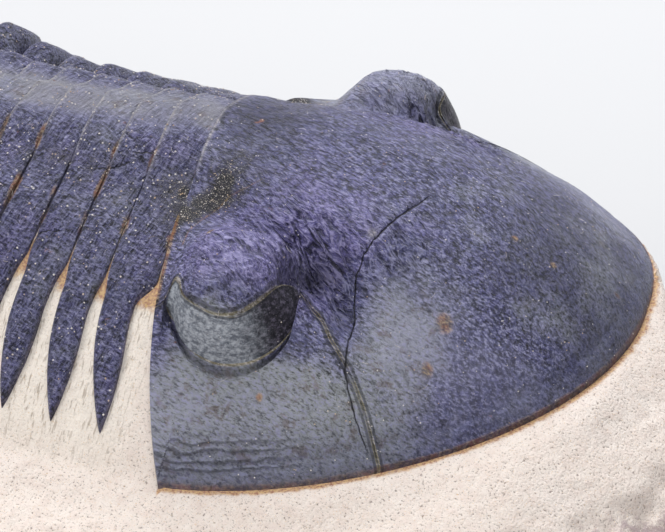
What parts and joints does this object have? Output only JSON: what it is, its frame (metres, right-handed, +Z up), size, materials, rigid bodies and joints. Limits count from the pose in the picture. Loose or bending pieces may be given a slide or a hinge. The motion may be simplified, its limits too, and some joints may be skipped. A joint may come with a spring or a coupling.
{
  "type": "trilobite fossil",
  "caption": "Whole trilobite on limestone: domed head with crescent eyes, ribbed thorax with free pointed tips, and a broad tail shield on a raised rock block.",
  "frame": {"origin": "centre of the bounding box in plan, on the sawn base", "axes": "+X the way the animal's head points, +Y its left side, +Z up out of the rock"},
  "size_m": [0.1056, 0.081, 0.0317],
  "materials": {
    "limestone": "rough pale cream to pinkish limestone, pitted by the preparation tool, with brown natural faces at the edges",
    "shell": "dark blue-grey calcite shell, half gloss, with grey-green and rust stains"
  },
  "bodies": {
    "root": {"matrix": "limestone", "cranidium": "shell", "free_cheek_right": "shell", "free_cheek_left": "shell", "thorax_segment_01": "shell", "thorax_segment_02": "shell", "thorax_segment_03": "shell", "thorax_segment_04": "shell", "thorax_segment_05": "shell", "thorax_segment_06": "shell", "thorax_segment_07": "shell", "thorax_segment_08": "shell", "thorax_segment_09": "shell", "thorax_segment_10": "shell", "pygidium": "shell"}
  },
  "joints": []
}
